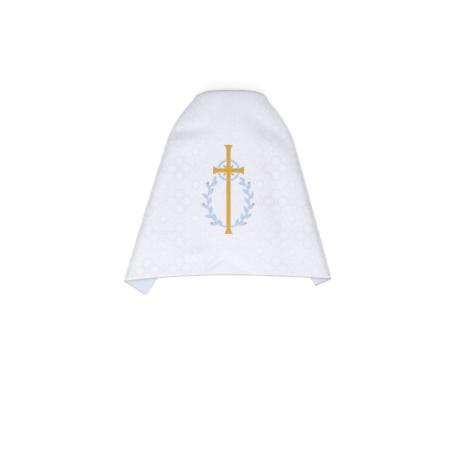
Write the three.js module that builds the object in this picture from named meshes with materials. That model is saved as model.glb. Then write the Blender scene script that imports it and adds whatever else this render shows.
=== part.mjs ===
// A humeral veil: one long rectangle of white damask backed with a plain satin lining, and bound
// all round with a thin piping. It lies face up on a table, folded back and forth, with both ends
// under the middle of the back, so that its outline is the bell it makes over a pair of shoulders.
// Millimetres, +Z up, +Y towards the neck edge, the bottom of the folded stack at Z = 0.
import * as THREE from 'three';

// Cut sizes of the veil.
const VEIL_LENGTH = 2450;
const VEIL_WIDTH = 600;
const FACE_THICK = 1.0;
const LINING_THICK = 1.0;
const SEAM_GAP = 0.3;
const PIPING_RADIUS = 1.1;

// Layers of the stack, counted down from the back panel on top: for each side its flap just
// beneath, the return of the flap, the long run across under the back, and the tuck at the far side.
const LAYER_PITCH = 3.1;
const HALF_THICK = (FACE_THICK + SEAM_GAP + LINING_THICK) / 2;
const TIGHT = LAYER_PITCH / 2;
const TUCK_INSET = 2;
const TOP = 0;
const LOWEST = 8;

// The two side folds and the run of cloth beyond each. The edge leans in from the hem corner by
// lean for each mm up the back, then rounds over the shoulder from roundFrom up, by roundBy at the
// neck edge. A row of the cloth turns down by hemTurn degrees as it goes under at the hem, and by
// neckTurn at the neck. It is folded back at endFold from the middle of the back, and again at the
// side fold, with wrapRadius there so that the right side's run holds the left side's tuck.
const LEFT = {
  side: -1, hemCorner: -345, lean: 0.318, roundFrom: 450, roundBy: 43, roundPower: 1.75,
  hemTurn: 37, neckTurn: 55, endFold: 435, wrapRadius: TIGHT,
  levels: { flap: 1, back: 2, run: 5, tuck: 6 },
};
const RIGHT = {
  side: 1, hemCorner: 338.5, lean: 0.279, roundFrom: 435, roundBy: 48, roundPower: 1.83,
  hemTurn: 28, neckTurn: 52, endFold: 395, wrapRadius: 3 * TIGHT,
  levels: { flap: 3, back: 4, run: 7, tuck: 8 },
};

// How far past a flap's free edge the cloth above starts to come down, and where it is down, for
// the top layer. Each layer below does so sooner.
const STEP_START = 44;
const STEP_END = 240;
const STEP_START_LESS = 2;
const STEP_END_LESS = 5;

// The same for the corners that come out below the hem.
const HEM_STEP_START = 14;
const HEM_STEP_END = 70;

// The back panel is full between its side folds: it rolls up by this much, over this width in
// from each of them.
const PUFF = 9;
const PUFF_WIDTH = 48;

// The hem hangs in a low arch, which drops this far at its reach on each side. The neck edge is
// flat in the middle and rounds down to the side folds.
const HEM_ARCH = { middle: -15, rise: 7.5, left: { reach: 327, drop: 20.6 }, right: { reach: 351, drop: 13.1 } };
const NECK_ARCH = { middle: 9, rise: 11, flat: 58, power: 4.3, most: 26, fade: 8 };

// Soft ridges of the back panel: centre, half length along, half width across, the direction of
// the length in degrees from +X, and height.
const SOFT_FOLDS = [
  { x: -120, y: 438, along: 110, across: 38, turn: 6, height: 5 },
  { x: 72, y: 455, along: 90, across: 40, turn: -42, height: 5 },
  { x: -8, y: 520, along: 60, across: 40, turn: 90, height: 3 },
  { x: -180, y: 150, along: 160, across: 60, turn: 74, height: 2.5 },
  { x: 205, y: 160, along: 160, across: 60, turn: 106, height: 2.5 },
  { x: -85, y: 38, along: 70, across: 34, turn: 40, height: 3 },
];

// Mesh steps.
const ROWS = [0, 46, 92, 138, 184, 230, 276, 322, 368, 412, 454, 492, 526, 554, 579, 600];
const BEND_STEPS = [1 / 3, 2 / 3, 1];
const HALF_BACK_STEPS = [0.17, 0.34, 0.51, 0.68, 0.82, 0.92, 0.98, 1];
const RUN_STEPS = [0.1, 0.2, 0.3, 0.4, 0.5, 0.6, 0.7, 0.8, 0.9, 1];
const FLAP_STEPS = [1 / 3, 2 / 3, 1];
const PIECE_STEPS = [
  HALF_BACK_STEPS, BEND_STEPS, FLAP_STEPS, BEND_STEPS, FLAP_STEPS, BEND_STEPS, RUN_STEPS, BEND_STEPS, FLAP_STEPS,
];
const PIPING_SIDES = 6;

const clamp01 = (v) => Math.min(1, Math.max(0, v));
const smooth = (v) => clamp01(v) ** 2 * (3 - 2 * clamp01(v));
const radians = THREE.MathUtils.degToRad;
const farSide = (fold) => (fold === LEFT ? RIGHT : LEFT);

// A side fold where the row at height y meets it: the place where a bend starts that reaches the
// edge with this radius, and the directions out across the fold, down along it, and back in under.
function foldAt(fold, y, radius) {
  const past = Math.max(0, (y - fold.roundFrom) / (VEIL_WIDTH - fold.roundFrom));
  const rounding = fold.roundBy * past ** fold.roundPower;
  const edge = fold.hemCorner - fold.side * (fold.lean * y + rounding);
  const half = radians(fold.hemTurn + (fold.neckTurn - fold.hemTurn) * clamp01(y / VEIL_WIDTH)) / 2;
  const out = new THREE.Vector2(fold.side * Math.cos(half), Math.sin(half));
  const down = new THREE.Vector2(fold.side * Math.sin(half), -Math.cos(half));
  const under = out.clone().multiplyScalar(-Math.cos(half)).addScaledVector(down, Math.sin(half));
  const start = new THREE.Vector2(edge - fold.side * (radius + HALF_THICK), y);
  return { start, out, down, under, half };
}

// The row of cloth at t, from the middle of the back out to one end, as flat pieces and bends in
// order. Each has its length, where it starts in plan and its direction, the layers it joins, and
// whether the face is on its upper or outer side.
function rowPieces(fold, t) {
  const pieces = [];
  const outward = new THREE.Vector2(fold.side, 0);
  let at = new THREE.Vector2(0, t);
  const add = (piece) => {
    pieces.push({ ...piece, start: at });
    at = at.clone().addScaledVector(piece.along, piece.length);
  };
  const flat = (length, along, level, face) =>
    add({ length, along, upper: level, lower: level, face, radius: 0, out: along });
  const bend = (radius, half, along, out, upper, lower, face) =>
    add({ length: (Math.PI * radius) / Math.cos(half), along, upper, lower, face, radius, out });

  const { flap, back, run, tuck } = fold.levels;
  const own = foldAt(fold, t, TIGHT);
  flat(Math.abs(own.start.x), outward, TOP, 1);
  bend(TIGHT, own.half, own.down.clone().multiplyScalar(Math.sin(own.half)), own.out, TOP, flap, 1);
  const flapLength = fold.endFold - pieces[0].length - pieces[1].length;
  flat(flapLength, own.under, flap, -1);
  bend(TIGHT, 0, new THREE.Vector2(), own.under, flap, back, -1);
  const outAgain = own.under.clone().negate();
  flat(flapLength - (fold.wrapRadius - TIGHT) / Math.cos(own.half), outAgain, back, 1);
  const up = own.down.clone().multiplyScalar(-Math.sin(own.half));
  bend(fold.wrapRadius, own.half, up, own.out, back, run, 1);
  const far = foldAt(farSide(fold), at.y, fold.side < 0 ? RIGHT.wrapRadius + TUCK_INSET : TIGHT);
  flat(Math.abs(far.start.x - at.x), outward.clone().negate(), run, -1);
  bend(TIGHT, far.half, far.down.clone().multiplyScalar(Math.sin(far.half)), far.out, run, tuck, -1);
  const used = pieces.reduce((sum, piece) => sum + piece.length, 0);
  flat(VEIL_LENGTH / 2 - used, far.under, tuck, 1);
  return pieces;
}

// Where a place on a row gets to in plan, at distance along it from the middle of the back.
function follow(pieces, distance) {
  let left = distance;
  let piece = pieces[0];
  for (piece of pieces) {
    if (left <= piece.length || piece === pieces.at(-1)) break;
    left -= piece.length;
  }
  const angle = piece.radius ? (Math.PI * left) / piece.length : 0;
  const plan = piece.start.clone().addScaledVector(piece.along, left);
  plan.addScaledVector(piece.out, piece.radius * Math.sin(angle));
  return { plan, piece, angle };
}

// The free edges of a flap: the line of its end, then its neck edge back to the side fold.
function freeEdges(fold, distance, neckStart) {
  const corner = (t) => follow(rowPieces(fold, t), distance).plan;
  return [[corner(0), corner(VEIL_WIDTH)], [corner(VEIL_WIDTH), neckStart]];
}

// Distance of a place outside a flap, which is 0 over the flap itself.
function outside(edges, side, x, y) {
  const past = edges.map(([from, to]) => {
    const cross = (to.x - from.x) * (y - from.y) - (to.y - from.y) * (x - from.x);
    return Math.max(0, (side * cross) / from.distanceTo(to));
  });
  return Math.hypot(...past);
}

const neckOf = (fold) => foldAt(fold, VEIL_WIDTH, TIGHT).start;
const flapOf = (fold) => ({
  side: fold.side,
  edges: freeEdges(fold, fold.endFold, neckOf(fold)),
});
const tuckOf = (fold) => ({
  side: -fold.side,
  edges: freeEdges(fold, VEIL_LENGTH / 2, neckOf(farSide(fold))),
});
const [LEFT_FLAP, RIGHT_FLAP] = [LEFT, RIGHT].map(flapOf);
const [LEFT_TUCK, RIGHT_TUCK] = [LEFT, RIGHT].map(tuckOf);
const LAYERS = [null, LEFT_FLAP, LEFT_FLAP, RIGHT_FLAP, RIGHT_FLAP, null, LEFT_TUCK, null, RIGHT_TUCK];

// Height of a layer at a place: the layers below it there, each counted less where it has ended.
function heightOf(level, x, y) {
  const belowHem = 1 - smooth((-y - HEM_STEP_START) / (HEM_STEP_END - HEM_STEP_START));
  let height = 0;
  for (let k = level + 1; k <= LOWEST; k++) {
    const flap = LAYERS[k];
    if (!flap) {
      height += belowHem;
      continue;
    }
    const start = STEP_START - STEP_START_LESS * level;
    const end = STEP_END - STEP_END_LESS * level;
    height += 1 - smooth((outside(flap.edges, flap.side, x, y) - start) / (end - start));
  }
  return height * LAYER_PITCH + (level === TOP ? relief(x, y) : 0);
}

// The fullness of the back panel and its soft ridges.
function relief(x, y) {
  const fromEdge = Math.min(...[LEFT, RIGHT].map((fold) => fold.side * (foldAt(fold, y, TIGHT).start.x - x)));
  const fullness = Math.sqrt(1 - (1 - clamp01(fromEdge / PUFF_WIDTH)) ** 2);
  let height = PUFF * fullness;
  for (const fold of SOFT_FOLDS) {
    const [dx, dy, turn] = [x - fold.x, y - fold.y, radians(fold.turn)];
    const along = (dx * Math.cos(turn) + dy * Math.sin(turn)) / fold.along;
    const across = (dy * Math.cos(turn) - dx * Math.sin(turn)) / fold.across;
    height += fold.height * Math.exp(-(along ** 2) - across ** 2) * fullness;
  }
  return height;
}

// The arch of the hem and of the neck edge, faded into each other up the back.
function arch(x, y) {
  const fromMiddle = x - HEM_ARCH.middle;
  const { reach, drop } = fromMiddle < 0 ? HEM_ARCH.left : HEM_ARCH.right;
  const hem = HEM_ARCH.rise - drop * (fromMiddle / reach) ** 2;
  const neckDrop = (Math.abs(x - NECK_ARCH.middle) / NECK_ARCH.flat) ** NECK_ARCH.power;
  const neck = NECK_ARCH.rise - Math.min(neckDrop, NECK_ARCH.most);
  const up = clamp01(y / VEIL_WIDTH);
  return hem * (1 - up) + neck * up ** NECK_ARCH.fade;
}

// Where a place on the flat veil ends up: s along the length from the middle of the back, t up
// from the hem, and off towards the face from the middle of the cloth's thickness.
function place(s, t, off) {
  const { plan, piece, angle } = follow(rowPieces(s < 0 ? LEFT : RIGHT, t), Math.abs(s));
  const [high, low] = [heightOf(piece.upper, plan.x, plan.y), heightOf(piece.lower, plan.x, plan.y)];
  const mid = (high + low) / 2 + ((high - low) / 2) * Math.cos(angle);
  const outer = off * piece.face;
  plan.addScaledVector(piece.out, outer * Math.sin(angle));
  return new THREE.Vector3(plan.x, plan.y + arch(plan.x, plan.y), mid + outer * Math.cos(angle) + HALF_THICK);
}

// The s of every mesh column on row t, from the left end of the veil to the right end.
function columnsAt(t) {
  const halfRow = (fold) => {
    let from = 0;
    return rowPieces(fold, t).flatMap((piece, k) => {
      const places = PIECE_STEPS[k].map((share) => from + share * piece.length);
      from += piece.length;
      return places;
    });
  };
  return [...halfRow(LEFT).reverse().map((s) => -s), 0, ...halfRow(RIGHT)];
}

// Whether the face is up in each mesh cell along a row. Cells are split the same way in plan
// whichever way up they are, so that layers lie parallel.
function facesUp() {
  const half = rowPieces(RIGHT, 0).flatMap((piece, k) => PIECE_STEPS[k].map(() => piece.face > 0));
  return [...half.toReversed(), ...half];
}

function geometryOf(points, index) {
  const geometry = new THREE.BufferGeometry().setFromPoints(points);
  geometry.setIndex(index);
  geometry.computeVertexNormals();
  return geometry;
}

// Grid places round the rim, along the hem first, then up the right end.
function rimOf(columns, rows) {
  const rim = [];
  for (let i = 0; i < columns - 1; i++) rim.push([i, 0]);
  for (let j = 0; j < rows - 1; j++) rim.push([columns - 1, j]);
  for (let i = columns - 1; i > 0; i--) rim.push([i, rows - 1]);
  for (let j = rows - 1; j > 0; j--) rim.push([0, j]);
  return rim;
}

// One cloth of the veil: the whole rectangle between two heights in the cloth's thickness.
function clothGeometry(grid, low, high) {
  const points = [];
  for (const off of [high, low]) {
    grid.forEach((row, j) => row.forEach((s) => points.push(place(s, ROWS[j], off))));
  }
  const width = grid[0].length;
  const under = width * ROWS.length;
  const at = (i, j) => j * width + i;
  const up = facesUp();
  const index = [];
  for (let j = 0; j + 1 < ROWS.length; j++) {
    for (let i = 0; i + 1 < width; i++) {
      const corners = [at(i, j), at(i + 1, j), at(i + 1, j + 1), at(i, j + 1)];
      const [a, b, c, d] = up[i] ? corners : [corners[1], corners[2], corners[3], corners[0]];
      index.push(a, b, c, a, c, d);
      index.push(under + a, under + c, under + b, under + a, under + d, under + c);
    }
  }
  const rim = rimOf(width, ROWS.length).map(([i, j]) => at(i, j));
  rim.forEach((a, k) => {
    const b = rim[(k + 1) % rim.length];
    index.push(a, under + a, under + b, a, under + b, b);
  });
  return geometryOf(points, index);
}

// The piping lies a seam gap outside the cloth's edge, and is mitred at the four corners.
function pipingGeometry(grid) {
  const width = grid[0].length;
  const rim = rimOf(width, ROWS.length);
  const points = rim.flatMap(([i, j]) => {
    const outS = i === 0 ? -1 : i === width - 1 ? 1 : 0;
    const outT = j === 0 ? -1 : j === ROWS.length - 1 ? 1 : 0;
    return Array.from({ length: PIPING_SIDES }, (_, k) => {
      const angle = (2 * Math.PI * k) / PIPING_SIDES;
      const out = SEAM_GAP + PIPING_RADIUS * (1 + Math.cos(angle));
      return place(grid[j][i] + outS * out, ROWS[j] + outT * out, PIPING_RADIUS * Math.sin(angle));
    });
  });
  const index = [];
  rim.forEach((_, i) => {
    const ring = i * PIPING_SIDES;
    const next = ((i + 1) % rim.length) * PIPING_SIDES;
    for (let k = 0; k < PIPING_SIDES; k++) {
      const side = (k + 1) % PIPING_SIDES;
      index.push(ring + k, next + k, next + side, ring + k, next + side, ring + side);
    }
  });
  return geometryOf(points, index);
}

function piece(name, geometry, color, roughness) {
  const mesh = new THREE.Mesh(geometry, new THREE.MeshStandardMaterial({ color, roughness, metalness: 0 }));
  mesh.name = name;
  return mesh;
}

const grid = ROWS.map(columnsAt);
const veil = new THREE.Group();
veil.name = 'humeral_veil';
veil.add(piece('veil_face', clothGeometry(grid, SEAM_GAP / 2, HALF_THICK), 0xecebf2, 0.7));
veil.add(piece('veil_lining', clothGeometry(grid, -HALF_THICK, -SEAM_GAP / 2), 0xe4e8f3, 0.45));
veil.add(piece('edge_piping', pipingGeometry(grid), 0xc9a58a, 0.5));

// The origin is under the middle of the folded veil, on the surface that it lies on.
const box = new THREE.Box3().setFromObject(veil);
const middle = box.getCenter(new THREE.Vector3());
veil.position.set(-middle.x, -middle.y, -box.min.z);

export default veil;
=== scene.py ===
import math

import bpy
import numpy as np
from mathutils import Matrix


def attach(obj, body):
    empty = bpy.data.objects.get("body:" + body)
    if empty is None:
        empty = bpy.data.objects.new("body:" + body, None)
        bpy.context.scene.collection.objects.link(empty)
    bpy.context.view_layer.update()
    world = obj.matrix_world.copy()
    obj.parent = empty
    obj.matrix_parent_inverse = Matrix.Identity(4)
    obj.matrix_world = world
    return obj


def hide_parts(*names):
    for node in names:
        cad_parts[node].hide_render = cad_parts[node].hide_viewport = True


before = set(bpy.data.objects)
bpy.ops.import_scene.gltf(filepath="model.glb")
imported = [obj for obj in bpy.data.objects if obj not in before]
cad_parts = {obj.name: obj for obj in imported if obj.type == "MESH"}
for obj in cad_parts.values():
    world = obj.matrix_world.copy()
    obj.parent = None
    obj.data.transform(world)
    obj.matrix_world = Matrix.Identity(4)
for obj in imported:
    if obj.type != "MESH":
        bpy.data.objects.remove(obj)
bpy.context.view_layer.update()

# Camera
# The folded veil is looked at from straight above, with the neck edge at the top of the picture.
# A long lens from three metres up keeps its sides as parallel as they are in a catalogue picture,
# which is FIELD_MM wide at the panel's height.
FIELD_MM = 1502
SENSOR_MM = 36
CAMERA_AT_MM = (5.0, -118.9, 3030)
PANEL_HEIGHT_MM = 28
camera_data = bpy.data.cameras.new("camera")
camera_data.sensor_width = SENSOR_MM
camera_data.lens = SENSOR_MM * (CAMERA_AT_MM[2] - PANEL_HEIGHT_MM) / FIELD_MM
camera = bpy.data.objects.new("camera", camera_data)
camera.location = [mm / 1000 for mm in CAMERA_AT_MM]
bpy.context.collection.objects.link(camera)
bpy.context.scene.camera = camera

# Damask face
# One rectangle of white damask, woven tone on tone: satin quatrefoils of rings on a duller ground.
# It lies face up, folded back and forth, with both side folds turned under along a curve.
VEIL_LENGTH = 2450
VEIL_WIDTH = 600
CLOTH_THICK = 1.0
SEAM_GAP = 0.3
HALF_THICK = CLOTH_THICK + SEAM_GAP / 2
LAYER_PITCH = 3.1
LAYER_COUNT = 9
TIGHT = LAYER_PITCH / 2
TUCK_INSET = 2
# Where the middle of the flat hem, which the veil is measured from, is in the part's frame.
VEIL_AT = (3.3276, -276.3155)
# For each side fold: its place at the hem and its lean in for each mm up the back, then where it
# starts to round over the shoulder, by how much and how fast. The angle by which rows turn under
# at the hem and the neck edge, how far along a row the flap folds back, the radius of the bend
# down to the run, and the layers of the flap, its return, the run and the tuck.
SIDES = {
    -1: dict(hem_corner=-345, lean=0.318, round_from=450, round_by=43, power=1.75,
             hem_turn=37, neck_turn=55, end_fold=435, wrap=TIGHT, levels=(1, 2, 5, 6)),
    1: dict(hem_corner=338.5, lean=0.279, round_from=435, round_by=48, power=1.83,
            hem_turn=28, neck_turn=52, end_fold=395, wrap=3 * TIGHT, levels=(3, 4, 7, 8)),
}


def smooth(value):
    """A share from nothing to one, level at both ends."""
    value = np.clip(value, 0, 1)
    return value * value * (3 - 2 * value)


def pair(x, y):
    """Points or directions in plan."""
    return np.stack(np.broadcast_arrays(x, y), -1).astype(float)


def side_fold(side, y, radius):
    """Where rows at y start to bend at a side fold, and half the angle by which they turn."""
    fold = SIDES[side]
    past = np.clip((y - fold["round_from"]) / (VEIL_WIDTH - fold["round_from"]), 0, None)
    edge = fold["hem_corner"] - side * (fold["lean"] * y + fold["round_by"] * past ** fold["power"])
    turn = fold["hem_turn"] + (fold["neck_turn"] - fold["hem_turn"]) * np.clip(y / VEIL_WIDTH, 0, 1)
    return edge - side * (radius + HALF_THICK), np.radians(turn) / 2


def row_pieces(side, t):
    """The rows of cloth at t up from the hem, from the middle of the back to one end, as flats and
    bends."""
    fold, rows = SIDES[side], []
    at = pair(0 * t, t)

    def lay(length, along, out, radius, upper, lower, facing):
        nonlocal at
        rows.append(dict(length=length, start=at, along=along, out=out, radius=radius,
                         upper=upper, lower=lower, facing=facing))
        at = at + along * length[:, None]

    def directions(which, half):
        out = pair(which * np.cos(half), np.sin(half))
        down = pair(which * np.sin(half), -np.cos(half))
        return out, down, down * np.sin(half)[:, None] - out * np.cos(half)[:, None]

    flap, back, run, tuck = fold["levels"]
    wrap = fold["wrap"]
    start, half = side_fold(side, t, TIGHT)
    out, down, under = directions(side, half)
    sine = np.sin(half)[:, None]
    level = pair(side + 0 * t, 0)
    lay(np.abs(start), level, level, 0, 0, 0, 1)
    lay(np.pi * TIGHT / np.cos(half), down * sine, out, TIGHT, 0, flap, 1)
    flap_length = fold["end_fold"] - rows[0]["length"] - rows[1]["length"]
    lay(flap_length, under, under, 0, flap, flap, -1)
    lay(np.pi * TIGHT + 0 * t, 0 * under, under, TIGHT, flap, back, -1)
    lay(flap_length - (wrap - TIGHT) / np.cos(half), -under, under, 0, back, back, 1)
    lay(np.pi * wrap / np.cos(half), -down * sine, out, wrap, back, run, 1)
    far_x, half = side_fold(-side, at[:, 1], SIDES[1]["wrap"] + TUCK_INSET if side < 0 else TIGHT)
    out, down, under = directions(-side, half)
    lay(np.abs(far_x - at[:, 0]), -level, level, 0, run, run, -1)
    lay(np.pi * TIGHT / np.cos(half), down * np.sin(half)[:, None], out, TIGHT, run, tuck, -1)
    used = sum(row["length"] for row in rows)
    lay(VEIL_LENGTH / 2 - used, under, under, 0, tuck, tuck, 1)
    return rows


def follow(side, t, distance):
    """Where places on rows get to in plan, and the fold they are in."""
    rows = row_pieces(side, t)
    found = dict(plan=np.zeros((len(t), 2)), out=np.zeros((len(t), 2)), angle=np.zeros(len(t)),
                 upper=np.zeros(len(t), int), lower=np.zeros(len(t), int), facing=np.zeros(len(t)))
    left, unplaced = distance.copy(), np.ones(len(t), bool)
    for row in rows:
        here = unplaced & ((left <= row["length"]) | (row is rows[-1]))
        unplaced &= ~here
        angle = np.pi * left / row["length"] if row["radius"] else 0 * left
        bow = (row["radius"] * np.sin(angle))[:, None]
        plan = row["start"] + row["along"] * left[:, None] + row["out"] * bow
        found["plan"][here], found["out"][here] = plan[here], row["out"][here]
        found["angle"][here] = angle[here]
        for name in ("upper", "lower", "facing"):
            found[name][here] = row[name]
        left = left - row["length"]
    return found


def flap_edges(side, distance, neck_side):
    """A flap's free edges in plan: the line of its end, then its neck edge back to the side fold."""
    ends = follow(side, np.array([0.0, VEIL_WIDTH]), np.array([distance, distance], float))["plan"]
    neck = pair(side_fold(neck_side, VEIL_WIDTH, TIGHT)[0], VEIL_WIDTH)
    return neck_side, ((ends[0], ends[1]), (ends[1], neck))


# The layers that end under the back panel. The runs go right across it.
LAYERS = {}
for side in (-1, 1):
    flap_level, return_level, _, tuck_level = SIDES[side]["levels"]
    for level in (flap_level, return_level):
        LAYERS[level] = flap_edges(side, SIDES[side]["end_fold"], side)
    LAYERS[tuck_level] = flap_edges(side, VEIL_LENGTH / 2, -side)


def past_flap(layer, x, y):
    """How far places in plan are past a flap's free edges."""
    side, edges = layer
    past = 0
    for start, end in edges:
        cross = (end[0] - start[0]) * (y - start[1]) - (end[1] - start[1]) * (x - start[0])
        past = past + np.clip(side * cross / math.dist(start, end), 0, None) ** 2
    return np.sqrt(past)


# Soft folds of the back panel: x, y, half length, half width, direction in degrees, height. The
# finer rows are creases, where the cloth dips or stands up a little between the folds.
SOFT_FOLDS = (
    (-120, 438, 110, 38, 6, 5), (72, 455, 90, 40, -42, 5), (-8, 520, 60, 40, 90, 3),
    (-180, 150, 160, 60, 74, 2.5), (205, 160, 160, 60, 106, 2.5), (-85, 38, 70, 34, 40, 3),
    (-155, 480, 72, 20, 4, -6.5), (-96, 512, 85, 46, 54, 4.5), (144, 478, 72, 24, -36, -5.5),
    (180, 505, 80, 34, -58, -3.5), (-5, 480, 60, 15, 90, 3.5), (-34, 545, 42, 16, 70, -3),
    (-46, 38, 44, 10, 36, -8), (-112, 68, 50, 20, 10, 6), (30, 74, 42, 20, 12, 3.5),
    (36, 26, 44, 13, -30, -4), (165, 235, 170, 34, 102, -9), (-205, 300, 90, 18, 72, -2.5),
    (120, 330, 70, 22, -60, 2),
)
# The panel's fullness at the hem and from FULL_AT up, and the share of it left at the neck edge.
HEM_PUFF, BACK_PUFF, FULL_AT = 10, 16, 150
NECK_SHARE = 0.3
# The widths over which its edges are round: at the sides of the back, at the sides of the
# shoulders, which start and are full at these heights, and along the neck edge.
BACK_ROUND, SHOULDER_ROUND, NECK_ROUND = 30, 85, 45
SHOULDER_START, SHOULDER_FULL = 320, 480


def rounded(share):
    """The height of a round edge, from nothing at the edge to one at its full width."""
    return np.sqrt(1 - (1 - np.clip(share, 0, 1)) ** 2)


def relief(x, y):
    """Fullness of the back panel over the layers beneath."""
    edge = np.minimum(x - side_fold(-1, y, TIGHT)[0], side_fold(1, y, TIGHT)[0] - x)
    shoulder = smooth((y - SHOULDER_START) / (SHOULDER_FULL - SHOULDER_START))
    round_width = BACK_ROUND + (SHOULDER_ROUND - BACK_ROUND) * shoulder
    puff = HEM_PUFF + (BACK_PUFF - HEM_PUFF) * smooth(y / FULL_AT)
    neck = NECK_SHARE + (1 - NECK_SHARE) * rounded((VEIL_WIDTH - y) / NECK_ROUND)
    rise = puff * rounded(edge / round_width) * neck
    fullness = rounded(edge / BACK_ROUND)
    for at_x, at_y, along, across, turn, height in SOFT_FOLDS:
        turn = math.radians(turn)
        u = ((x - at_x) * math.cos(turn) + (y - at_y) * math.sin(turn)) / along
        v = ((y - at_y) * math.cos(turn) - (x - at_x) * math.sin(turn)) / across
        rise = rise + height * np.exp(-u * u - v * v) * fullness
    return rise


# How far past a flap's free edge the cloth above starts to come down, and where it is down, for
# the top layer. Each layer below does so sooner. Then the same for the corners below the hem.
STEP_START, STEP_END = 44, 240
STEP_START_LESS, STEP_END_LESS = 2, 5
HEM_STEP_START, HEM_STEP_END = 14, 70


def height_of(level, x, y):
    """Height of a layer: the layers below it, each counted less where it has ended."""
    height = 0 * x
    start, end = STEP_START - STEP_START_LESS * level, STEP_END - STEP_END_LESS * level
    for below in range(1, LAYER_COUNT):
        if below in LAYERS:
            share = 1 - smooth((past_flap(LAYERS[below], x, y) - start) / (end - start))
        else:
            share = 1 - smooth((-y - HEM_STEP_START) / (HEM_STEP_END - HEM_STEP_START))
        height = height + np.where(below > level, share, 0)
    return height * LAYER_PITCH + np.where(level == 0, relief(x, y), 0)


# The hem lies in a low arch, which drops this far at its reach on each side. The neck edge is
# flat in the middle and rounds down to the side folds.
HEM_ARCH = dict(middle=-15, rise=7.5, left_reach=327, left_drop=20.6, right_reach=351, right_drop=13.1)
NECK_ARCH = dict(middle=9, rise=11, flat=58, power=4.3, most=26, fade=8)


def arch(x, y):
    """How far the hem and the neck edge bow, faded into each other up the back."""
    beyond = x - HEM_ARCH["middle"]
    left = HEM_ARCH["left_drop"] * (beyond / HEM_ARCH["left_reach"]) ** 2
    right = HEM_ARCH["right_drop"] * (beyond / HEM_ARCH["right_reach"]) ** 2
    hem = HEM_ARCH["rise"] - np.where(beyond < 0, left, right)
    drop = (np.abs(x - NECK_ARCH["middle"]) / NECK_ARCH["flat"]) ** NECK_ARCH["power"]
    neck = NECK_ARCH["rise"] - np.minimum(drop, NECK_ARCH["most"])
    up = np.clip(y / VEIL_WIDTH, 0, 1)
    return hem * (1 - up) + neck * up ** NECK_ARCH["fade"]


def place(s, t, off):
    """Where places on the flat veil are, in metres, at heights off above the middle of its cloths."""
    s, t, off = (np.ravel(v).astype(float) for v in np.broadcast_arrays(s, t, off))
    points = np.zeros((len(s), 3))
    for side in (-1, 1):
        mine = s < 0 if side < 0 else s >= 0
        if not mine.any():
            continue
        found = follow(side, t[mine], np.abs(s[mine]))
        plan, angle, outer = found["plan"], found["angle"], off[mine] * found["facing"]
        high = height_of(found["upper"], plan[:, 0], plan[:, 1])
        low = height_of(found["lower"], plan[:, 0], plan[:, 1])
        z = (high + low) / 2 + (high - low) / 2 * np.cos(angle) + outer * np.cos(angle) + HALF_THICK
        plan = plan + found["out"] * (outer * np.sin(angle))[:, None]
        y = plan[:, 1] + arch(plan[:, 0], plan[:, 1])
        points[mine] = np.stack([plan[:, 0] + VEIL_AT[0], y + VEIL_AT[1], z], -1)
    return points / 1000


SHOULDERS_FROM = 400


def row_heights(back_steps, shoulder_steps):
    """The t of each mesh row, closer over the shoulders, where the side folds curve."""
    back = np.linspace(0, SHOULDERS_FROM, back_steps + 1)
    shoulders = np.linspace(SHOULDERS_FROM, VEIL_WIDTH, shoulder_steps + 1)
    return np.concatenate([back, shoulders[1:]])


def cloth_columns(t, counts):
    """The s of each mesh column on rows t, with counts steps in each flat and bend."""
    halves = []
    for side in (-1, 1):
        start, half = 0 * t, []
        for row, count in zip(row_pieces(side, t), counts):
            half += [start + row["length"] * step / count for step in range(1, count + 1)]
            start = start + row["length"]
        halves.append(half)
    columns = [-s for s in halves[0][::-1]] + [0 * t] + halves[1]
    return np.stack(columns, 1)


def new_mesh(name, points, faces, uv):
    """An object that rides on the root, from points and faces, with its UVs in a layer named lay."""
    mesh = bpy.data.meshes.new(name)
    mesh.from_pydata(points.tolist(), [], faces)
    mesh.polygons.foreach_set("use_smooth", np.ones(len(faces), bool))
    corners = np.empty(len(mesh.loops), np.int32)
    mesh.loops.foreach_get("vertex_index", corners)
    mesh.uv_layers.new(name="lay").data.foreach_set("uv", uv[corners].ravel())
    made = bpy.data.objects.new(name, mesh)
    bpy.context.collection.objects.link(made)
    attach(made, "root")
    return made


def rim_of(at):
    """The numbers round the rim of a grid of them, in order."""
    return np.concatenate([at[0, :-1], at[:-1, -1], at[-1, :0:-1], at[:0:-1, 0]])


def cloth_mesh(name, t, counts, low, high):
    """One cloth of the veil between two heights in its thickness, closed round its rim."""
    s = cloth_columns(t, counts)
    rows, width = s.shape
    across, up = s.ravel(), np.repeat(t, width)
    points = np.concatenate([place(across, up, high), place(across, up, low)])
    uv = np.tile(np.stack([across, up], -1) / 1000, (2, 1))
    under = rows * width
    at = np.arange(under).reshape(rows, width)
    cells = np.stack([at[:-1, :-1], at[:-1, 1:], at[1:, 1:], at[1:, :-1]], -1).reshape(-1, 4)
    rim = rim_of(at)
    after = np.roll(rim, -1)
    edge = np.stack([rim, rim + under, after + under, after], -1)
    faces = np.concatenate([cells, cells[:, ::-1] + under, edge]).tolist()
    return new_mesh(name, points, faces, uv)


# Mesh steps in each flat and bend of a row, from the middle of the back to the end.
FACE_STEPS = (52, 8, 20, 8, 20, 8, 50, 8, 20)
face = cloth_mesh("damask_face", row_heights(60, 44), FACE_STEPS, SEAM_GAP / 2, HALF_THICK)
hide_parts("veil_face")


def linear(code):
    """A colour from its sRGB hex value."""
    parts = [int(code[k:k + 2], 16) / 255 for k in (1, 3, 5)]
    return tuple(v / 12.92 if v <= 0.04045 else ((v + 0.055) / 1.055) ** 2.4 for v in parts) + (1.0,)


def add(tree, kind, inputs=None, **settings):
    """A node with its settings. An input is a value, or the output that it is linked from."""
    made = tree.nodes.new(kind)
    for name, value in settings.items():
        setattr(made, name, value)
    for socket, value in (inputs or {}).items():
        if isinstance(value, bpy.types.NodeSocket):
            tree.links.new(value, made.inputs[socket])
        else:
            made.inputs[socket].default_value = value
    return made


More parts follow.
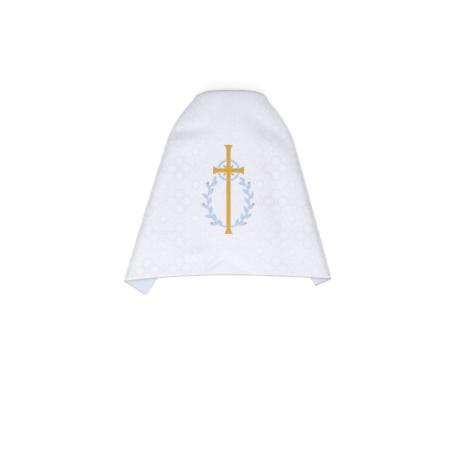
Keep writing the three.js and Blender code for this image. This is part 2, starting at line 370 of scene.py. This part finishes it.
def new_material(name):
    """A material with no nodes yet, and its node tree."""
    made = bpy.data.materials.new(name)
    made.use_nodes = True
    made.node_tree.nodes.clear()
    return made, made.node_tree


# Woven silk damask: the figure is outlined where the weave changes from satin to the duller
# ground, which gives the eye faint grey lines on white. The satin's sheen is painted, as a lighter
# colour over the satin areas, besides their lower roughness. The repeat is 105 x 110 mm. The
# outlines are drawn 3 to 6 mm wide and the threads 3 mm apart, coarser than they are, to show at
# all. The tone is mottled every 8 mm, where threads lie closer or looser.
REPEAT_MM = (105.1, 109.9)
REPEAT_AT_MM = (-55.1, 134.5)
PETAL_AT_MM, PETAL_MM, INNER_RING_MM = 24, 16.5, 9.5
EYE_MM = 5
BUD_AT_MM, BUD_MM = 10, 6
ROSETTE_MM, ROSETTE_LOBE_MM, ROSETTE_LOBES = 12, 2.2, 8
RING_BEADS, PETAL_RAYS = 14, 6
THREAD_MM = 3.0
MOTTLE_MM = 8.0
SATIN_SHEEN_PAINTED, OUTLINE_DARKER = 0.045, 0.23
damask, tree = new_material("white_silk_damask")
cloth_uv = add(tree, "ShaderNodeUVMap", uv_map="lay").outputs["UV"]
cloth_mm = add(tree, "ShaderNodeVectorMath", {0: cloth_uv, "Scale": 1000.0}, operation="SCALE").outputs[0]
axes = add(tree, "ShaderNodeSeparateXYZ", {0: cloth_mm})


def calc(operation, a, b=0.0, c=0.0):
    """The result of one sum on the material that is being made."""
    return add(tree, "ShaderNodeMath", {0: a, 1: b, 2: c}, operation=operation).outputs[0]


def from_repeat(axis, shift):
    """Millimetres from the nearest figure's middle along one axis."""
    size = REPEAT_MM[axis]
    start = REPEAT_AT_MM[axis] + (shift - 0.5) * size
    share = calc("FRACT", calc("DIVIDE", calc("SUBTRACT", axes.outputs[axis], start), size))
    return calc("MULTIPLY", calc("ABSOLUTE", calc("SUBTRACT", share, 0.5)), size)


def length_of(x, y):
    """The length of a line with these two sides."""
    return calc("SQRT", calc("ADD", calc("MULTIPLY", x, x), calc("MULTIPLY", y, y)))


def within(distance, reach, soft):
    """One up to this reach, fading to nothing over soft past it."""
    inside = calc("DIVIDE", calc("SUBTRACT", reach + soft, distance), soft)
    return calc("MAXIMUM", 0.0, calc("MINIMUM", 1.0, inside))


def line(distance, radius, half_width):
    """One on a ring of this radius, faded to a half at its half width and to nothing past it."""
    return within(calc("ABSOLUTE", calc("SUBTRACT", distance, radius)), 0.5 * half_width, half_width)


u, v = from_repeat(0, 0), from_repeat(1, 0)
petal_x, petal_y = calc("SUBTRACT", calc("MAXIMUM", u, v), PETAL_AT_MM), calc("MINIMUM", u, v)
to_petal = length_of(petal_x, petal_y)
round_petal = calc("ARCTAN2", petal_x, petal_y)
beads = calc("COSINE", calc("MULTIPLY", round_petal, RING_BEADS))
rays = calc("COSINE", calc("MULTIPLY", round_petal, PETAL_RAYS))
to_bud = length_of(from_repeat(0, 0.5), calc("SUBTRACT", v, BUD_AT_MM))
u2, v2 = from_repeat(0, 0.5), from_repeat(1, 0.5)
lobes = calc("COSINE", calc("MULTIPLY", calc("ARCTAN2", u2, v2), ROSETTE_LOBES))
to_rosette = calc("SUBTRACT", length_of(u2, v2), calc("MULTIPLY", lobes, ROSETTE_LOBE_MM))
outlines = calc("MULTIPLY", line(to_petal, PETAL_MM, 2.8), calc("MULTIPLY_ADD", beads, 0.3, 0.7))
for distance, radius, half_width, strength in (
    (to_petal, INNER_RING_MM, 2.0, 0.4),
    (length_of(u, v), EYE_MM, 1.6, 0.7),
    (to_bud, BUD_MM, 1.8, 0.7),
    (to_rosette, ROSETTE_MM, 2.2, 0.7),
):
    drawn = calc("MULTIPLY", line(distance, radius, half_width), strength)
    outlines = calc("MAXIMUM", outlines, drawn)
satin_areas = calc("MULTIPLY", within(to_petal, PETAL_MM - 2, 1.5), calc("MULTIPLY_ADD", rays, 0.35, 0.65))
satin_areas = calc("MAXIMUM", satin_areas, within(to_rosette, ROSETTE_MM - 1.5, 1.5))

mottle = add(tree, "ShaderNodeTexNoise", {
    "Vector": cloth_mm, "Scale": 1 / MOTTLE_MM, "Detail": 3.0, "Roughness": 0.65}).outputs["Fac"]
# How strongly the figure shows varies over the cloth in broad patches, as the floats catch the
# light or not.
PATCH_MM, LEAST_SHOWN = 111.1, 0.35
shows = add(tree, "ShaderNodeTexNoise", {
    "Vector": cloth_mm, "Scale": 1 / PATCH_MM, "Detail": 1.0}).outputs["Fac"]
shows = calc("MAXIMUM", LEAST_SHOWN, calc("MINIMUM", 1.0, calc("MULTIPLY_ADD", shows, 3.0, -0.6)))
# It hardly shows in the middle of the back, where the embroidery's backing stiffens the cloth.
BACKING_HALF_MM, BACKING_FADE_MM, SHOWN_ON_BACKING = 45.0, 60.0, 0.2
off_middle = calc("SUBTRACT", calc("ABSOLUTE", axes.outputs[0]), BACKING_HALF_MM)
off_middle = calc("MINIMUM", 1.0, calc("DIVIDE", off_middle, BACKING_FADE_MM))
shows = calc("MULTIPLY", shows, calc("MAXIMUM", SHOWN_ON_BACKING, off_middle))
outlines = calc("MULTIPLY", outlines, calc("MULTIPLY_ADD", mottle, 1.6, 0.2))
darker = calc("MULTIPLY", outlines, OUTLINE_DARKER)
# Painted sheen: the satin areas are made lighter. The outlines darken, as the figure's own lines.
figure = calc("SUBTRACT", calc("MULTIPLY", satin_areas, SATIN_SHEEN_PAINTED), darker)
tone = calc("MULTIPLY_ADD", calc("SUBTRACT", mottle, 0.5), 0.6, 0.52)
tone = calc("ADD", tone, calc("MULTIPLY", figure, shows))
colour = add(tree, "ShaderNodeMix", {
    "Factor": tone, "A": linear("#C3C2CB"), "B": linear("#E6E6EE")}, data_type="RGBA").outputs["Result"]
# A wave texture repeats every 0.314 of its own units.
WAVE_REPEAT = 0.314
threads = [add(tree, "ShaderNodeTexWave", {
    "Vector": cloth_mm, "Scale": WAVE_REPEAT / THREAD_MM, "Distortion": 1.0, "Detail": 1.0},
    bands_direction=way).outputs["Fac"] for way in ("X", "Y")]
weave = calc("MULTIPLY", *threads)
raised = calc("MULTIPLY_ADD", weave, 0.1, calc("MULTIPLY", mottle, 0.45))
raised = calc("ADD", raised, calc("MULTIPLY", satin_areas, 0.04))
bump = add(tree, "ShaderNodeBump", {"Height": raised, "Distance": 0.001, "Strength": 0.45}).outputs[0]
gloss = calc("MULTIPLY_ADD", satin_areas, -0.1, 0.62)
surface = add(tree, "ShaderNodeBsdfPrincipled", {
    "Base Color": colour, "Roughness": gloss, "Normal": bump, "IOR": 1.46,
    "Sheen Weight": 0.12, "Sheen Roughness": 0.45, "Specular IOR Level": 0.3})
add(tree, "ShaderNodeOutputMaterial", {"Surface": surface.outputs[0]})
face.data.materials.append(damask)

# Embroidery
# A plain cross over a ring, rising between two leafy branches, in gold and pale blue. It is worked
# in padded satin stitch through the damask, on the middle of the back.
CROSS_AT = (0, 345)
CROSS_TOP, CROSS_FOOT, CROSS_ARM = 428, 136, 50
STROKE_HALF, STROKE_STEP = 7.2, 6
FLARE_HALF, FLARE_LENGTH = 15, 20
RING_RADIUS, RING_HALF, RING_STEPS = 33, 3.8, 72
RAY_FROM, RAY_LENGTH, RAY_HALF = 11, 14, 2.6
WREATH_AT = (0, 246)
WREATH_REACH = (68, 88)
STEM_DEGREES, STEM_HALVES, STEM_STEPS = (7, 132), (3.2, 1.4), 40
LEAF_DEGREES, LEAVES, LEAF_TURN = (18, 124), 11, 0.62
LEAF_LENGTH, LEAF_HALF, LEAF_BEND = 27, 5.8, 0.35
END_LEAF_LENGTH, END_LEAF_HALF = 24, 5.2
LEAF_TIP_HALF, BERRY_TIP_HALF = 0.35, 0.3
BERRY_REACH, BERRY_TURN, BERRY_RADIUS = 14, 1.35, 4.2
# Each stroke stands this high, and lower where its half width is less than FULL_HEIGHT_HALF.
STITCH_HEIGHT, FULL_HEIGHT_HALF = 1.3, 4.8
# The section of one stroke, over the top from its right edge: shares of its half width and height.
STROKE_SECTION = np.array([
    (-1, -0.25), (-0.95, 0.4), (-0.6, 0.83), (0, 1), (0.6, 0.83), (0.95, 0.4), (1, -0.25)])


def stitched(name, strokes):
    """Padded satin-stitch strokes, each a path in plan with the half width at each of its points."""
    points, faces, uv, count = [], [], [], 0
    size = len(STROKE_SECTION)
    for path, half in strokes:
        path = np.asarray(path, float)
        half = np.broadcast_to(half, len(path)).astype(float)[:, None]
        step = np.gradient(path, axis=0)
        normal = pair(-step[:, 1], step[:, 0]) / np.hypot(*step.T)[:, None]
        x = path[:, :1] + normal[:, :1] * half * STROKE_SECTION[:, 0]
        y = path[:, 1:] + normal[:, 1:] * half * STROKE_SECTION[:, 0]
        padding = STITCH_HEIGHT * np.clip(0.4 + 0.6 * half / FULL_HEIGHT_HALF, 0, 1)
        points.append(place(x, y, HALF_THICK + padding * STROKE_SECTION[:, 1]))
        run = np.concatenate([[0], np.cumsum(np.hypot(*np.diff(path, axis=0).T))]) / 1000
        uv.append(pair(run[:, None], (STROKE_SECTION[:, 0] + 1) / 2).reshape(-1, 2))
        at = count + np.arange(len(path) * size).reshape(-1, size)
        beside = np.roll(at, -1, axis=1)
        faces += np.stack([at[:-1], at[1:], beside[1:], beside[:-1]], -1).reshape(-1, 4).tolist()
        faces += [at[0].tolist(), at[-1, ::-1].tolist()]
        count += at.size
    return new_mesh(name, np.concatenate(points), faces, np.concatenate(uv))


def straight(start, end):
    """A stroke from start to end that widens into a flare at both ends."""
    length = math.dist(start, end)
    along = np.linspace(0, length, 2 * int(length / STROKE_STEP) + 1)
    path = np.array(start) + along[:, None] / length * np.subtract(end, start)
    near_end = np.clip(1 - np.minimum(along, length - along) / FLARE_LENGTH, 0, 1)
    return path, STROKE_HALF + (FLARE_HALF - STROKE_HALF) * near_end ** 2


def leaf(base, direction, length, half_width):
    """An almond-shaped stroke from its base, in a direction in radians, that bends a little."""
    share = np.linspace(0, 1, 10)
    bend = direction + LEAF_BEND * (share - 0.5)
    path = np.array(base) + length * share[:, None] * pair(np.cos(bend), np.sin(bend))
    return path, LEAF_TIP_HALF + half_width * np.sin(np.pi * share ** 0.85)


def berry(at, radius):
    """A round stroke."""
    across = np.linspace(-1, 1, 9)
    half = np.maximum(BERRY_TIP_HALF, radius * np.sqrt(1 - across ** 2))
    return pair(at[0] + across * radius, at[1] + 0 * across), half


def outward(at, distance, direction):
    """The place at a distance from another, in a direction in radians."""
    return at[0] + distance * math.cos(direction), at[1] + distance * math.sin(direction)


arm_y = CROSS_AT[1]
gold = [straight((0, CROSS_FOOT), (0, CROSS_TOP)), straight((-CROSS_ARM, arm_y), (CROSS_ARM, arm_y))]
turn = np.linspace(0, 2 * np.pi, RING_STEPS + 1)
ring = pair(RING_RADIUS * np.sin(turn), arm_y + RING_RADIUS * np.cos(turn))
blue = [(ring, RING_HALF)]
for degrees in (45, 135, 225, 315):
    aim = math.radians(degrees)
    gold.append(leaf(outward(CROSS_AT, RAY_FROM, aim), aim, RAY_LENGTH, RAY_HALF))
for side in (-1, 1):
    turn = np.radians(np.linspace(*STEM_DEGREES, STEM_STEPS))
    stem = pair(side * WREATH_REACH[0] * np.sin(turn), WREATH_AT[1] - WREATH_REACH[1] * np.cos(turn))
    blue.append((stem, np.linspace(*STEM_HALVES, STEM_STEPS)))
    for number, degrees in enumerate(np.linspace(*LEAF_DEGREES, LEAVES)):
        at = math.radians(degrees)
        base = (side * WREATH_REACH[0] * math.sin(at), WREATH_AT[1] - WREATH_REACH[1] * math.cos(at))
        ahead = math.atan2(WREATH_REACH[1] * math.sin(at), side * WREATH_REACH[0] * math.cos(at))
        outer = 1 if number % 2 else -1
        blue.append(leaf(base, ahead - side * outer * LEAF_TURN, LEAF_LENGTH, LEAF_HALF))
        if number % 4 == 2:
            gold.append(berry(outward(base, BERRY_REACH, ahead - side * BERRY_TURN), BERRY_RADIUS))
    blue.append(leaf(stem[-1], ahead, END_LEAF_LENGTH, END_LEAF_HALF))

# Rayon embroidery thread laid side by side in satin stitch, paler at the edges, where a finer
# outline thread is couched down. Its silky sheen is painted: each thread is lighter along its
# ridge and darker between threads. Threads are 0.4 mm, and drawn 2.5 mm wide to show. The painted
# sheen is uneven every 1.2 mm, as the thread's own twist is.
STITCH_MM = 2.5
UNEVEN_MM = 1.2
for name, strokes, slot, edge_code, shaded_thread_code, lit_thread_code in (
    ("embroidery_gold", gold, "piping_cord", "#DDB654", "#B4810A", "#CA9A1E"),
    ("embroidery_blue", blue, "lining_satin", "#C2D1E4", "#98AECA", "#B0C2DA"),
):
    emblem = stitched(name, strokes)
    thread, tree = new_material(name.replace("embroidery", "rayon_thread"))
    lay_uv = add(tree, "ShaderNodeUVMap", uv_map="lay").outputs["UV"]
    axes = add(tree, "ShaderNodeSeparateXYZ", {0: lay_uv})
    slant = calc("MULTIPLY", axes.outputs[1], 1.6)
    stitch = calc("SINE", calc("MULTIPLY_ADD", axes.outputs[0], 2000 * math.pi / STITCH_MM, slant))
    stitch = calc("MULTIPLY_ADD", stitch, 0.5, 0.5)
    place_m = add(tree, "ShaderNodeTexCoord").outputs["Object"]
    uneven = add(tree, "ShaderNodeTexNoise", {
        "Vector": place_m, "Scale": 1000 / UNEVEN_MM, "Detail": 2.0}).outputs["Fac"]
    # Painted highlight and shade of the threads, from the stitch ridges and the twist's unevenness.
    painted_thread_shine = calc("MULTIPLY_ADD", stitch, 0.6, calc("MULTIPLY", uneven, 0.4))
    colour = add(tree, "ShaderNodeMix", {
        "Factor": painted_thread_shine, "A": linear(shaded_thread_code), "B": linear(lit_thread_code)}, data_type="RGBA").outputs["Result"]
    to_edge = calc("POWER", calc("ABSOLUTE", calc("MULTIPLY_ADD", axes.outputs[1], 2.0, -1.0)), 3.0)
    colour = add(tree, "ShaderNodeMix", {
        "Factor": to_edge, "A": colour, "B": linear(edge_code)}, data_type="RGBA").outputs["Result"]
    bump = add(tree, "ShaderNodeBump", {"Height": stitch, "Distance": 0.0005, "Strength": 0.5}).outputs[0]
    surface = add(tree, "ShaderNodeBsdfPrincipled", {
        "Base Color": colour, "Roughness": 0.42, "Normal": bump, "IOR": 1.5,
        "Sheen Weight": 0.1, "Specular IOR Level": 0.45})
    add(tree, "ShaderNodeOutputMaterial", {"Surface": surface.outputs[0]})
    emblem.data.materials.append(thread)

# Satin lining
# A plain rectangle of bluish white satin, sewn to the damask round the edge. It shows where the
# side folds turn under and come out below the hem.
LINING_STEPS = (44, 6, 14, 6, 14, 6, 30, 6, 14)
lining = cloth_mesh("satin_lining", row_heights(48, 32), LINING_STEPS, -HALF_THICK, -SEAM_GAP / 2)
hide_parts("veil_lining")

# Polyester satin: long floats give it a soft shine, and uneven weft gives it faint streaks from
# hem to neck edge. They are drawn 3.7 mm wide, coarser than they are, to show.
STREAK_MM = (3.7, 133.0)
satin, tree = new_material("plain_polyester_satin")
cloth_uv = add(tree, "ShaderNodeUVMap", uv_map="lay").outputs["UV"]
streaks_at = add(tree, "ShaderNodeMapping", {
    "Vector": cloth_uv, "Scale": (1000 / STREAK_MM[0], 1000 / STREAK_MM[1], 1.0)}).outputs[0]
streaks = add(tree, "ShaderNodeTexNoise", {"Vector": streaks_at, "Scale": 1.0, "Detail": 2.0}).outputs["Fac"]
colour = add(tree, "ShaderNodeMix", {
    "Factor": streaks, "A": linear("#B9BECB"), "B": linear("#CBD0DC")}, data_type="RGBA").outputs["Result"]
bump = add(tree, "ShaderNodeBump", {"Height": streaks, "Distance": 0.0004, "Strength": 0.4}).outputs[0]
surface = add(tree, "ShaderNodeBsdfPrincipled", {
    "Base Color": colour, "Roughness": 0.42, "Normal": bump, "IOR": 1.5,
    "Sheen Weight": 0.1, "Specular IOR Level": 0.4})
add(tree, "ShaderNodeOutputMaterial", {"Surface": surface.outputs[0]})
lining.data.materials.append(satin)

# Piping
# A thin twisted rose-gold cord sewn round the whole edge, where face and lining meet. It rounds
# the edge off and catches the light along the hem.
PIPING_RADIUS = 0.85
STITCH_GAP = 0.1
CORD_SIDES = 10
PIPING_STEPS = (60, 10, 24, 10, 24, 10, 60, 10, 24)
piping_rows = row_heights(80, 60)
piping_s = cloth_columns(piping_rows, PIPING_STEPS)
row_count, width = piping_s.shape
row, column = np.divmod(rim_of(np.arange(piping_s.size).reshape(piping_s.shape)), width)
rim_s, rim_t = piping_s[row, column], piping_rows[row]
out_s = np.where(column == width - 1, 1, 0) - np.where(column == 0, 1, 0)
out_t = np.where(row == row_count - 1, 1, 0) - np.where(row == 0, 1, 0)
around = np.arange(CORD_SIDES) / CORD_SIDES * 2 * np.pi
off_edge = STITCH_GAP + PIPING_RADIUS * (1 + np.cos(around))
ring_s = rim_s[:, None] + out_s[:, None] * off_edge
ring_t = rim_t[:, None] + out_t[:, None] * off_edge
points = place(ring_s, ring_t, np.broadcast_to(PIPING_RADIUS * np.sin(around), ring_s.shape))
run = np.concatenate([[0], np.cumsum(np.hypot(np.diff(rim_s), np.diff(rim_t)))])
uv = pair(run[:, None] / 1000, around / (2 * np.pi)).reshape(-1, 2)
at = np.arange(ring_s.size).reshape(-1, CORD_SIDES)
after, beside = np.roll(at, -1, axis=0), np.roll(at, -1, axis=1)
faces = np.stack([at, after, np.roll(after, -1, axis=1), beside], -1).reshape(-1, 4)
piping = new_mesh("edge_cord", points, faces.tolist(), uv)
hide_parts("edge_piping")

# Twisted rayon cord: the twist is drawn every 9 mm, coarser than it is, so that it shows. It is a
# bump, and also painted highlight and shade, lighter on the strands and darker in the grooves.
TWIST_MM = 9
cord, tree = new_material("twisted_rayon_cord")
cord_uv = add(tree, "ShaderNodeUVMap", uv_map="lay").outputs["UV"]
axes = add(tree, "ShaderNodeSeparateXYZ", {0: cord_uv})
round_cord = calc("MULTIPLY", axes.outputs[1], 2 * math.pi)
twist = calc("SINE", calc("MULTIPLY_ADD", axes.outputs[0], 2000 * math.pi / TWIST_MM, round_cord))
twist = calc("MULTIPLY_ADD", twist, 0.5, 0.5)
# Painted highlight and shade along the twist.
colour = add(tree, "ShaderNodeMix", {
    "Factor": twist, "A": linear("#AE8E7C"), "B": linear("#D6B8A0")}, data_type="RGBA").outputs["Result"]
bump = add(tree, "ShaderNodeBump", {"Height": twist, "Distance": 0.0006, "Strength": 0.6}).outputs[0]
surface = add(tree, "ShaderNodeBsdfPrincipled", {
    "Base Color": colour, "Roughness": 0.45, "Normal": bump, "IOR": 1.5, "Sheen Weight": 0.2})
add(tree, "ShaderNodeOutputMaterial", {"Surface": surface.outputs[0]})
piping.data.materials.append(cord)

# Floor and light
# A plain pale table top, and soft studio light that comes from the hem's side of the picture.
FLOOR_HALF_M = 15
floor_corners = [(x * FLOOR_HALF_M, y * FLOOR_HALF_M, 0) for x, y in ((-1, -1), (1, -1), (1, 1), (-1, 1))]
floor_mesh = bpy.data.meshes.new("table_top")
floor_mesh.from_pydata(floor_corners, [], [(0, 1, 2, 3)])
floor = bpy.data.objects.new("table_top", floor_mesh)
bpy.context.collection.objects.link(floor)

# Matt laminate, pressed smooth: a plain white with hardly any mottle, every 13 mm, and no clear
# reflection.
GRAIN_MM = 13
laminate, tree = new_material("matt_white_laminate")
place_m = add(tree, "ShaderNodeTexCoord").outputs["Object"]
grain = add(tree, "ShaderNodeTexNoise", {
    "Vector": place_m, "Scale": 1000 / GRAIN_MM, "Detail": 2.0}).outputs["Fac"]
colour = add(tree, "ShaderNodeMix", {
    "Factor": grain, "A": linear("#FAFAFA"), "B": linear("#FDFDFD")}, data_type="RGBA").outputs["Result"]
surface = add(tree, "ShaderNodeBsdfPrincipled", {
    "Base Color": colour, "Roughness": 0.8, "Specular IOR Level": 0.2})
add(tree, "ShaderNodeOutputMaterial", {"Surface": surface.outputs[0]})
floor_mesh.materials.append(laminate)

# Each softbox: its place, the point it is aimed at, its side in metres and its power in watts.
for name, spot, target, size, power in (
    ("overhead_softbox", (0.1, 0.1, 5.6), (0.1, 0.1, 0), 3.6, 202),
    ("key_softbox", (-0.65, -2.15, 1.4), (0, -0.1, 0), 1.7, 28),
):
    light = bpy.data.lights.new(name, "AREA")
    light.size, light.energy = size, power
    lamp = bpy.data.objects.new(name, light)
    lamp.location = spot
    aim = np.subtract(target, spot)
    lamp.rotation_euler = (math.atan2(math.hypot(aim[0], aim[1]), -aim[2]), 0, math.atan2(-aim[0], aim[1]))
    bpy.context.collection.objects.link(lamp)

# The studio is brighter overhead than at the horizon, so that what turns away from above darkens.
HORIZON_LIGHT, ZENITH_LIGHT = 0.26, 0.54
world = bpy.data.worlds.new("studio")
world.use_nodes = True
backdrop = world.node_tree.nodes["Background"]
backdrop.inputs["Color"].default_value = linear("#FFFFFF")
sky = add(world.node_tree, "ShaderNodeTexCoord").outputs["Generated"]
upward = add(world.node_tree, "ShaderNodeSeparateXYZ", {0: sky}).outputs["Z"]
strength = add(world.node_tree, "ShaderNodeMapRange", {
    "Value": upward, "From Min": 0.0, "From Max": 1.0,
    "To Min": HORIZON_LIGHT, "To Max": ZENITH_LIGHT}).outputs["Result"]
world.node_tree.links.new(strength, backdrop.inputs["Strength"])
bpy.context.scene.world = world
bpy.context.scene.view_settings.view_transform = "Standard"
